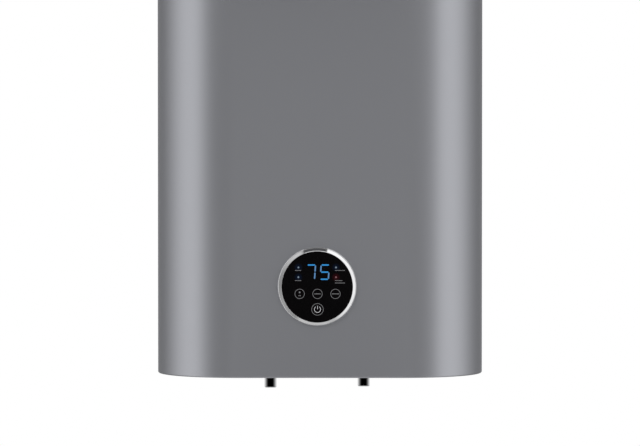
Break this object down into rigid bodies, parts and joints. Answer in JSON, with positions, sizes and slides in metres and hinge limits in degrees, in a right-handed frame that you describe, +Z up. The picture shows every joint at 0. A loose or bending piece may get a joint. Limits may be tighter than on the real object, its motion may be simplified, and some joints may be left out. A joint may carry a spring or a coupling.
{
  "type": "electric water heater",
  "caption": "Flat wall-hung electric storage water heater with a rounded metal casing, a round touch display, water pipes below and brackets behind.",
  "frame": {"origin": "centre of the upper wall bracket's face, where it lies against the wall", "axes": "+Z up, +Y into the wall, +X to the right for someone facing the control panel"},
  "size_m": [0.556, 0.3011, 0.8858],
  "materials": {
    "silver_paint": "satin",
    "silver_plastic": "satin",
    "grey_plastic": "matte",
    "dark_plastic": "satin",
    "black_glass": "gloss",
    "bezel_chrome": "polished",
    "pipe_chrome": "polished",
    "tank_enamel": "gloss",
    "rigid_foam": "matte",
    "zinc_steel": "satin",
    "stainless": "satin",
    "seal_rubber": "matte",
    "copper": "satin",
    "anode_metal": "matte",
    "circuit_board": "satin",
    "relay_blue": "satin",
    "red_plastic": "gloss",
    "blue_plastic": "gloss",
    "white_plastic": "satin",
    "brown_wire": "satin",
    "earth_wire": "satin",
    "grey_wire": "satin"
  },
  "bodies": {
    "water_heater": {"casing_shell": "silver_paint", "top_cap": "silver_plastic", "bottom_cap": "grey_plastic", "cable_gland": "dark_plastic", "gland_nut": "dark_plastic", "insulation_foam": "rigid_foam", "upper_bracket": "zinc_steel", "lower_bracket": "zinc_steel", "control_bezel": "bezel_chrome", "control_glass": "black_glass", "control_housing": "dark_plastic", "housing_gasket": "seal_rubber", "display_board": "circuit_board", "digit_module": "dark_plastic", "cold_tank": "tank_enamel", "hot_tank": "tank_enamel", "crossover_pipe": "stainless", "cold_inlet_pipe": "pipe_chrome", "hot_outlet_pipe": "pipe_chrome", "cold_diffuser": "white_plastic", "hot_riser": "white_plastic", "electrics_bridge": "zinc_steel", "power_board": "circuit_board", "front_relay": "relay_blue", "rear_relay": "relay_blue", "transformer": "dark_plastic", "terminal_block": "white_plastic", "thermal_cutout": "dark_plastic", "display_cable": "grey_wire", "bracket_bolt_1": "zinc_steel", "bracket_bolt_2": "zinc_steel", "bracket_bolt_3": "zinc_steel", "bracket_bolt_4": "zinc_steel", "cold_flange_plate": "zinc_steel", "cold_flange_gasket": "seal_rubber", "cold_heating_element": "copper", "cold_anode": "anode_metal", "cold_sensor_pocket": "copper", "cold_lead_front": "brown_wire", "cold_lead_rear": "brown_wire", "cold_sensor_lead": "grey_wire", "cold_earth_lead": "earth_wire", "hot_flange_plate": "zinc_steel", "hot_flange_gasket": "seal_rubber", "hot_heating_element": "copper", "hot_anode": "anode_metal", "hot_sensor_pocket": "copper", "hot_lead_front": "brown_wire", "hot_lead_rear": "brown_wire", "hot_sensor_lead": "grey_wire", "hot_earth_lead": "earth_wire"},
    "cover_assembly": {"service_cover": "grey_plastic", "cover_screw_1": "zinc_steel", "cover_screw_2": "zinc_steel", "cover_screw_3": "zinc_steel", "cover_screw_4": "zinc_steel", "hot_ring": "red_plastic", "cold_ring": "blue_plastic"},
    "reset_button_body": {"reset_button": "red_plastic"}
  },
  "joints": [
    {"name": "service_cover_drop", "type": "slide", "parent": "water_heater", "child": "cover_assembly", "axis": [0, 0, -1], "range_m": [0, 0.12]},
    {"name": "reset_button_travel", "type": "slide", "parent": "water_heater", "child": "reset_button_body", "axis": [0, 0, -1], "range_m": [0, 0.002]}
  ]
}
